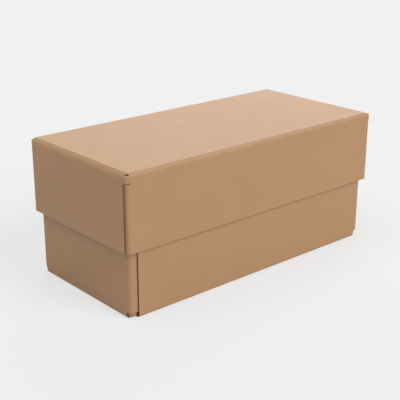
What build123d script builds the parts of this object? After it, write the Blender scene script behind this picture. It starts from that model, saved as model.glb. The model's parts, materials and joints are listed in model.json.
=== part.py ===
from build123d import *
from math import sqrt
import os

# A box in two folded pieces: an open base and a lift-off lid that slides down over it.
# Each piece is one sheet of board, cut, scored, folded, and glued at its four corner flaps.
# Millimetres, +Z up, X along the length. The origin is the middle of the base's underside.

# Overall sizes, outside the lid
box_length = 330.0
box_width = 155.5
box_height = 141.5
lid_depth = 74.5

# Board and fits
board = 1.5
glue_line = 0.15  # between a corner flap and the wall in front of it
lid_clearance = 1.8  # all round, between the inside of the lid and the outside of the base
rim_clearance = 0.3  # from the rim of the base up to where it would meet the lid's folds

# Outer radii of the folds
lid_side_fold = 3.5
lid_end_fold = 7.0
lid_corner_bend = 3.5
base_fold = 3.0
base_corner_bend = 5.0

# Corner flaps: how far each reaches along its wall, and the cut at its two free corners
lid_flap_reach = 46.0
base_flap_reach = 58.0
flap_corner_cut = 14.0

# Lid corners: the end wall's cut edge, and the ear at its top that wraps round the corner
lid_seam_setback = 3.8
ear_bend = 5.0
ear_root = 2.0
ear_reach = 5.7
ear_drop = 1.4
ear_height = 7.4
ear_corner_radius = 1.7
ear_edge_radius = 1.0
ear_slit = 1.0  # round the ear's tip, to the long wall and the top
ear_gap = 0.2  # from the ear's lower edge to the flap's bend
relief_length = 4.2
relief_width = 1.8

# Base corners: the long wall's cut edge, and the web pressed up round the corner below the flap
base_seam_setback = 9.5
base_web_inset = 1.8  # behind the flap's outer face
base_web_fold = 3.0
base_web_height = 5.2
base_web_slit = 0.8

# Sizes that follow
lid_half_length = box_length / 2
lid_half_width = box_width / 2
base_half_length = lid_half_length - 2 * board - glue_line - lid_clearance
base_half_width = lid_half_width - board - lid_clearance
flap_inset = board + glue_line  # a flap's outer face, behind the outer face of its wall
lid_flap_start = ear_drop + ear_height + ear_gap  # below the lid's top
base_flap_start = base_web_height + base_web_slit


def rim_drop(fold_radius, inset):
    """How far below the lid's top a base wall, inset from the lid's wall, meets the inside of the fold."""
    across = fold_radius - inset
    if across <= 0:
        return board
    return fold_radius - sqrt((fold_radius - board) ** 2 - across**2)


end_drop = rim_drop(lid_end_fold, lid_half_length - base_half_length)
side_drop = rim_drop(lid_side_fold, lid_half_width - base_half_width)
base_height = box_height - max(end_drop, side_drop) - rim_clearance


def fold_section(plane, half_span, depth, fold_radius):
    """Section through half of a panel and the wall folded up from it."""
    with BuildSketch(plane) as section:
        with BuildLine():
            FilletPolyline((0, 0), (-half_span, 0), (-half_span, depth), radius=fold_radius)
            offset(amount=board, side=Side.RIGHT)
        make_face()
    return section.sketch


def side_wall(half_width, depth, fold_radius, start, stop):
    """Panel and long wall, from x = start to x = stop."""
    extrude(fold_section(Plane.YZ.offset(start), half_width, depth, fold_radius), amount=stop - start)


def end_wall(half_length, depth, fold_radius, start, stop):
    """Panel and end wall, from y = start to y = stop."""
    extrude(fold_section(Plane.XZ.offset(-start), half_length, depth, fold_radius), amount=start - stop)


def corner_bend(points, bend_radius, low, high):
    """A strip of board bent round one corner, upright from z = low to z = high."""
    with BuildSketch(Plane.XY.offset(low)) as plan:
        with BuildLine():
            FilletPolyline(*points, radius=bend_radius)
            offset(amount=board, side=Side.LEFT)
        make_face()
    extrude(plan.sketch, amount=high - low)


def mirror_corners():
    """Complete a tray from the quarter in the -X, -Y corner."""
    mirror(about=Plane.YZ)
    mirror(about=Plane.XZ)


with BuildPart() as base:
    seam = -base_half_length + base_seam_setback
    bend_end = -base_half_width + flap_inset + base_corner_bend
    flap_face = -base_half_width + flap_inset
    side_wall(base_half_width, base_height, base_fold, seam, 0)
    end_wall(base_half_length, base_height, base_fold, bend_end, 0)
    # The end wall's flap turns the corner and is glued behind the long wall
    corner_bend(
        [
            (-base_half_length, bend_end + board),
            (-base_half_length, flap_face),
            (-base_half_length + base_flap_reach, flap_face),
        ],
        base_corner_bend,
        base_flap_start,
        base_height,
    )
    chamfer(edges(Select.LAST).filter_by(Axis.Y).sort_by(Axis.X)[-2:], length=flap_corner_cut)
    # The web: the board left between the two folds is pressed up round the corner, under the flap
    bend_centre = Vector(-base_half_length + base_corner_bend, bend_end)
    web_span = base_corner_bend - base_web_inset
    turn = Plane(bend_centre, x_dir=(1, 0, 0), z_dir=(0, -1, 0))
    revolve(fold_section(turn, web_span, base_web_height, base_web_fold), Axis(bend_centre, (0, 0, 1)), 90)
    run = Plane(bend_centre, x_dir=(0, 1, 0), z_dir=(1, 0, 0))
    extrude(fold_section(run, web_span, base_web_height, base_web_fold), amount=seam - bend_centre.X)
    mirror_corners()

# The lid is drawn upside down, with its top on the ground plane, and turned over at the end.
# The end wall's ear turns the corner with soft edges.
with BuildPart() as ear:
    corner_bend(
        [
            (-lid_half_length, -lid_half_width + ear_bend + ear_root),
            (-lid_half_length, -lid_half_width),
            (-lid_half_length + ear_reach, -lid_half_width),
        ],
        ear_bend,
        ear_drop,
        ear_drop + ear_height,
    )
    tip_corners = edges().filter_by(Axis.Y).group_by(Axis.X)[-1]
    root_corner = edges().filter_by(Axis.X).group_by(Axis.Z)[0].sort_by(Axis.Y)[-1]
    fillet([*tip_corners, root_corner], radius=ear_corner_radius)
    outer_arc = edges().filter_by(GeomType.CIRCLE).group_by(Axis.Z)[0].sort_by(SortBy.RADIUS)[-1]
    fillet(outer_arc, radius=ear_edge_radius)

with BuildPart() as lid:
    seam = -lid_half_width + lid_seam_setback
    slit_end = -lid_half_length + ear_reach + ear_slit
    bend_end = -lid_half_length + flap_inset + lid_corner_bend
    flap_face = -lid_half_length + flap_inset
    side_wall(lid_half_width, lid_depth, lid_side_fold, bend_end, 0)
    side_wall(lid_half_width, lid_flap_start, lid_side_fold, slit_end, bend_end)
    end_wall(lid_half_length, lid_depth, lid_end_fold, seam, 0)
    end_wall(lid_half_length, lid_flap_start, lid_end_fold, -lid_half_width + board + ear_slit, seam)
    # Above the flap, the corner is rounded off to the outer face of the ear
    ear_centre = (-lid_half_length + ear_bend, -lid_half_width + ear_bend)
    with BuildSketch() as beyond_ear:
        with BuildLine():
            CenterArc(ear_centre, ear_bend, 180, 90)
            Polyline(
                (ear_centre[0], -lid_half_width),
                (-lid_half_length, -lid_half_width),
                (-lid_half_length, ear_centre[1]),
            )
        make_face()
    extrude(amount=lid_flap_start, mode=Mode.SUBTRACT)
    # The long wall's flap turns the corner and is glued behind the end wall
    corner_bend(
        [
            (flap_face, -lid_half_width + lid_flap_reach),
            (flap_face, -lid_half_width),
            (bend_end + board, -lid_half_width),
        ],
        lid_corner_bend,
        lid_flap_start,
        lid_depth,
    )
    chamfer(edges(Select.LAST).filter_by(Axis.X).sort_by(Axis.Y)[-2:], length=flap_corner_cut)
    # A short slot across the corner where the folds meet, with the end wall's ear in front of it
    relief_inset = ear_bend - (ear_bend - board - relief_width / 2) / sqrt(2)
    with BuildSketch() as relief:
        with Locations((-lid_half_length + relief_inset, -lid_half_width + relief_inset)):
            SlotOverall(relief_length, relief_width, rotation=-45)
    extrude(amount=lid_end_fold, mode=Mode.SUBTRACT)
    add(ear.part)
    mirror_corners()
    mirror(about=Plane.XY.offset(box_height / 2), mode=Mode.REPLACE)

os.makedirs("parts", exist_ok=True)
for name, piece in (("base", base.part), ("lid", lid.part)):
    piece.label = name
    export_step(piece, f"parts/{name}.step")
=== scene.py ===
import json
import math

import bmesh
import bpy
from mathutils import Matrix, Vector
from mathutils.bvhtree import BVHTree

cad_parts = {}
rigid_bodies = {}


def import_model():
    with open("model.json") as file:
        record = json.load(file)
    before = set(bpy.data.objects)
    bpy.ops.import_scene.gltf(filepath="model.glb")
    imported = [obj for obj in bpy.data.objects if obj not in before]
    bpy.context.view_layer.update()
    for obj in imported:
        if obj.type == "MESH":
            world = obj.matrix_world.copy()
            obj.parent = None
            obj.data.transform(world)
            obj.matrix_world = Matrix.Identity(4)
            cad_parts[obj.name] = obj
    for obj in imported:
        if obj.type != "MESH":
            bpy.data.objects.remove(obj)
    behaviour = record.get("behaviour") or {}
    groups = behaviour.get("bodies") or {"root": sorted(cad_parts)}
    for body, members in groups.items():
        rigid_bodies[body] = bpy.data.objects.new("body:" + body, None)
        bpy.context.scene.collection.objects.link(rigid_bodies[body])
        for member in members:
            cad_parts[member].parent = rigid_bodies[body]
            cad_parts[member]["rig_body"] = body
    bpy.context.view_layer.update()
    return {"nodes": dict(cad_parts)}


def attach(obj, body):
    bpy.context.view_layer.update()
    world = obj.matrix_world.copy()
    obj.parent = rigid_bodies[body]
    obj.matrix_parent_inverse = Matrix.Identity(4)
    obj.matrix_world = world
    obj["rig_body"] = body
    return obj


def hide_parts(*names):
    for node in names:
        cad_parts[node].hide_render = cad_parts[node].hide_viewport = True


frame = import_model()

MM = 0.001

# Linear RGB
KRAFT = (0.470, 0.268, 0.136)
CUT_BOARD = (0.22, 0.11, 0.05)
BACKDROP = (0.888, 0.888, 0.888)
FLOOR = (0.8, 0.8, 0.8)

# Strengths of the three suns and of the even light from all round
KEY = 1.88
OVERHEAD = 1.2
FAR = 1.0
WORLD = 0.22

# The sheet
BOARD = 1.5 * MM
EDGE_ROUND = 0.18 * MM
EDGE_SEGMENTS = 2
SHARP_ANGLE = math.radians(40)
WELD = 0.001 * MM  # points closer than this are one point

# A region is paper where most of it has little more than the board's thickness behind it
PROBE = 0.01 * MM  # where the ray inwards starts, under the surface
PAPER_DEPTH = 1.2 * BOARD
PAPER_SHARE = 0.5
CUT_SLOT = 1  # the cut board's place in board_materials

# Camera
LENS = 80.17
SENSOR = 36
CLIP_NEAR = 0.01
CLIP_FAR = 50
CAMERA_PLACE = Vector((-589.1, -662.5, 380.8)) * MM
CAMERA_AIM = Vector((-9.4, 3.2, 60.3)) * MM

FLOOR_SIZE = 16
SHADOW_SHARE = 0.3  # how much of the floor's own shading the camera sees


# --- Node trees ---------------------------------------------------------------------------------


def new_material(name):
    """An empty node material with its Principled shader, and a function that adds nodes to it."""
    material = bpy.data.materials.new(name)
    material.use_nodes = True
    tree = material.node_tree
    shader = tree.nodes["Principled BSDF"]

    def add(kind, **settings):
        node = tree.nodes.new(kind)
        for key, value in settings.items():
            if key in node.inputs:
                node.inputs[key].default_value = value
            else:
                setattr(node, key, value)
        return node

    return material, tree, shader, add


def noise(add, tree, coordinates, scale, detail, roughness=0.5, kind="FBM"):
    """A noise pattern whose features measure about 1/scale metres, as a value near 0 to 1."""
    texture = add("ShaderNodeTexNoise", noise_type=kind, Scale=scale, Detail=detail, Roughness=roughness)
    tree.links.new(coordinates, texture.inputs["Vector"])
    return texture.outputs["Fac"]


def remap(add, tree, value, low, high, to_low, to_high):
    """A value from low to high, taken to to_low to to_high."""
    node = add("ShaderNodeMapRange", clamp=True)
    node.inputs["From Min"].default_value = low
    node.inputs["From Max"].default_value = high
    node.inputs["To Min"].default_value = to_low
    node.inputs["To Max"].default_value = to_high
    tree.links.new(value, node.inputs["Value"])
    return node.outputs["Result"]


def multiply(add, tree, *values):
    """The product of several values."""
    product = values[0]
    for value in values[1:]:
        node = add("ShaderNodeMath", operation="MULTIPLY")
        tree.links.new(product, node.inputs[0])
        tree.links.new(value, node.inputs[1])
        product = node.outputs[0]
    return product


def tint(add, tree, colour, shade):
    """A fixed colour, darker or lighter by a shade that varies over the surface."""
    node = add("ShaderNodeVectorMath", operation="SCALE")
    node.inputs[0].default_value = colour
    tree.links.new(shade, node.inputs["Scale"])
    return node.outputs["Vector"]


def bump(add, tree, shader, *layers):
    """Stacks bump layers of (height, distance in metres) on a shader."""
    below = None
    for height, distance in layers:
        node = add("ShaderNodeBump")
        node.inputs["Distance"].default_value = distance
        tree.links.new(height, node.inputs["Height"])
        if below:
            tree.links.new(below, node.inputs["Normal"])
        below = node.outputs["Normal"]
    tree.links.new(below, shader.inputs["Normal"])


# --- Materials ----------------------------------------------------------------------------------


def liner_material():
    """Matt brown kraft paper: soft mottling, matted fibres and a few darker flecks."""
    material, tree, shader, add = new_material("kraft_liner")
    place = add("ShaderNodeTexCoord").outputs["Object"]
    clouds = noise(add, tree, place, 28, detail=4)
    patches = noise(add, tree, place, 160, detail=3)
    fibres = noise(add, tree, place, 900, detail=5, roughness=0.65, kind="RIDGED_MULTIFRACTAL")
    grain = noise(add, tree, place, 2600, detail=2)

    flecks = add("ShaderNodeTexVoronoi", feature="F1", Scale=420)
    tree.links.new(place, flecks.inputs["Vector"])
    fleck_shade = remap(add, tree, flecks.outputs["Distance"], 0.05, 0.16, 0.86, 1.0)

    shade = multiply(
        add,
        tree,
        remap(add, tree, clouds, 0.3, 0.7, 0.975, 1.025),
        remap(add, tree, patches, 0.3, 0.7, 0.985, 1.015),
        remap(add, tree, fibres, 0.0, 1.0, 0.95, 1.04),
        remap(add, tree, grain, 0.3, 0.7, 0.97, 1.03),
        fleck_shade,
    )
    tree.links.new(tint(add, tree, KRAFT, shade), shader.inputs["Base Color"])
    tree.links.new(remap(add, tree, patches, 0.3, 0.7, 0.52, 0.6), shader.inputs["Roughness"])
    shader.inputs["Specular IOR Level"].default_value = 0.4
    bump(add, tree, shader, (clouds, 0.10 * MM), (fibres, 0.03 * MM), (grain, 0.02 * MM))
    return material


def cut_material():
    """The raw, darker fibre where the sheet was cut."""
    material, tree, shader, add = new_material("cut_board")
    place = add("ShaderNodeTexCoord").outputs["Object"]
    shreds = noise(add, tree, place, 1500, detail=4, roughness=0.7)
    shade = remap(add, tree, shreds, 0.3, 0.7, 0.75, 1.3)
    tree.links.new(tint(add, tree, CUT_BOARD, shade), shader.inputs["Base Color"])
    shader.inputs["Roughness"].default_value = 0.85
    shader.inputs["Specular IOR Level"].default_value = 0.2
    bump(add, tree, shader, (shreds, 0.12 * MM))
    return material


# --- The box ------------------------------------------------------------------------------------


def smooth_regions(mesh):
    """The mesh's faces in groups, each group joined across edges that turn less than SHARP_ANGLE."""
    left = set(mesh.faces)
    while left:
        region = []
        front = [left.pop()]
        while front:
            face = front.pop()
            region.append(face)
            for edge in face.edges:
                if edge.smooth:
                    joined = left.intersection(edge.link_faces)
                    left -= joined
                    front.extend(joined)
        yield region


def mark_cut_edges(mesh):
    """Gives the cut board's slot to each region that isn't paper."""
    tree = BVHTree.FromBMesh(mesh)
    for region in smooth_regions(mesh):
        paper_area = 0
        for face in region:
            inward = -face.normal
            start = face.calc_center_median() + inward * PROBE
            hit = tree.ray_cast(start, inward)[0]
            if hit and (hit - start).length < PAPER_DEPTH:
                paper_area += face.calc_area()
        if paper_area < PAPER_SHARE * sum(face.calc_area() for face in region):
            for face in region:
                face.material_index = CUT_SLOT


def folded_sheet(node, materials):
    """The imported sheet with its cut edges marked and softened, ready to stand for the node."""
    source = frame["nodes"][node]
    mesh = bmesh.new()
    mesh.from_mesh(source.data)
    bmesh.ops.remove_doubles(mesh, verts=mesh.verts, dist=WELD)
    bmesh.ops.dissolve_degenerate(mesh, edges=mesh.edges, dist=WELD)
    bmesh.ops.recalc_face_normals(mesh, faces=mesh.faces)
    for face in mesh.faces:
        face.smooth = True
    for edge in mesh.edges:
        edge.smooth = edge.is_manifold and edge.calc_face_angle() < SHARP_ANGLE
    mark_cut_edges(mesh)
    data = bpy.data.meshes.new(node + "_sheet")
    mesh.to_mesh(data)
    mesh.free()
    for material in materials:
        data.materials.append(material)
    piece = bpy.data.objects.new(node + "_sheet", data)
    bpy.context.scene.collection.objects.link(piece)
    soften = piece.modifiers.new("soften", "BEVEL")
    soften.width = EDGE_ROUND
    soften.segments = EDGE_SEGMENTS
    soften.limit_method = "ANGLE"
    soften.angle_limit = SHARP_ANGLE
    soften.harden_normals = True
    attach(piece, source["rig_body"])
    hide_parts(node)


# --- Studio -------------------------------------------------------------------------------------


def make_camera():
    data = bpy.data.cameras.new("camera")
    data.lens = LENS
    data.sensor_width = SENSOR
    data.clip_start = CLIP_NEAR
    data.clip_end = CLIP_FAR
    camera = bpy.data.objects.new("camera", data)
    camera.location = CAMERA_PLACE
    camera.rotation_mode = "QUATERNION"
    camera.rotation_quaternion = (CAMERA_AIM - camera.location).to_track_quat("-Z", "Y")
    bpy.context.scene.collection.objects.link(camera)
    bpy.context.scene.camera = camera


def soft_sun(name, towards, spread, strength):
    """An even soft light that comes from the direction given, spread over an angle in degrees."""
    data = bpy.data.lights.new(name, "SUN")
    data.energy = strength
    data.angle = math.radians(spread)
    lamp = bpy.data.objects.new(name, data)
    lamp.rotation_mode = "QUATERNION"
    lamp.rotation_quaternion = Vector(towards).to_track_quat("Z", "Y")
    bpy.context.scene.collection.objects.link(lamp)


def seen_directly(tree):
    """1 for rays that show the backdrop itself: from the camera, or through gloss or glass."""
    path = tree.nodes.new("ShaderNodeLightPath")
    total = path.outputs["Is Camera Ray"]
    for name in ("Is Glossy Ray", "Is Transmission Ray"):
        node = tree.nodes.new("ShaderNodeMath")
        node.operation = "MAXIMUM"
        tree.links.new(total, node.inputs[0])
        tree.links.new(path.outputs[name], node.inputs[1])
        total = node.outputs[0]
    return total


def make_world(light_level):
    world = bpy.data.worlds.new("studio")
    world.use_nodes = True
    tree = world.node_tree
    background = tree.nodes["Background"]
    mix = tree.nodes.new("ShaderNodeMix")
    mix.data_type = "RGBA"
    mix.inputs["A"].default_value = (light_level, light_level, light_level, 1)
    mix.inputs["B"].default_value = (*BACKDROP, 1)
    tree.links.new(seen_directly(tree), mix.inputs["Factor"])
    tree.links.new(mix.outputs["Result"], background.inputs["Color"])
    bpy.context.scene.world = world


def make_floor(shadow_share):
    """A pale floor. The rest of what the camera sees of it is its own glow, so the shadow is light."""
    bpy.ops.mesh.primitive_plane_add(size=FLOOR_SIZE)
    floor = bpy.context.object
    floor.name = "floor"
    material, tree, shader, add = new_material("floor")
    shader.inputs["Base Color"].default_value = (*FLOOR, 1)
    shader.inputs["Roughness"].default_value = 1
    shader.inputs["Specular IOR Level"].default_value = 0
    glow = add("ShaderNodeEmission", Color=(*BACKDROP, 1))
    mix = add("ShaderNodeMixShader")
    share = add("ShaderNodeMath", operation="MULTIPLY")
    share.inputs[1].default_value = 1 - shadow_share
    tree.links.new(seen_directly(tree), share.inputs[0])
    tree.links.new(share.outputs[0], mix.inputs["Fac"])
    tree.links.new(shader.outputs["BSDF"], mix.inputs[1])
    tree.links.new(glow.outputs["Emission"], mix.inputs[2])
    tree.links.new(mix.outputs["Shader"], tree.nodes["Material Output"].inputs["Surface"])
    floor.data.materials.append(material)


bpy.context.scene.view_settings.view_transform = "Standard"
board_materials = [liner_material(), cut_material()]
folded_sheet("base", board_materials)
folded_sheet("lid", board_materials)
make_camera()
soft_sun("key", (0.38, -1.0, 0.8), 35, KEY)
soft_sun("overhead", (-0.3, 0.1, 1.0), 50, OVERHEAD)
soft_sun("far_sheen", (0.74, 0.60, 0.42), 50, FAR)
make_world(WORLD)
make_floor(SHADOW_SHARE)
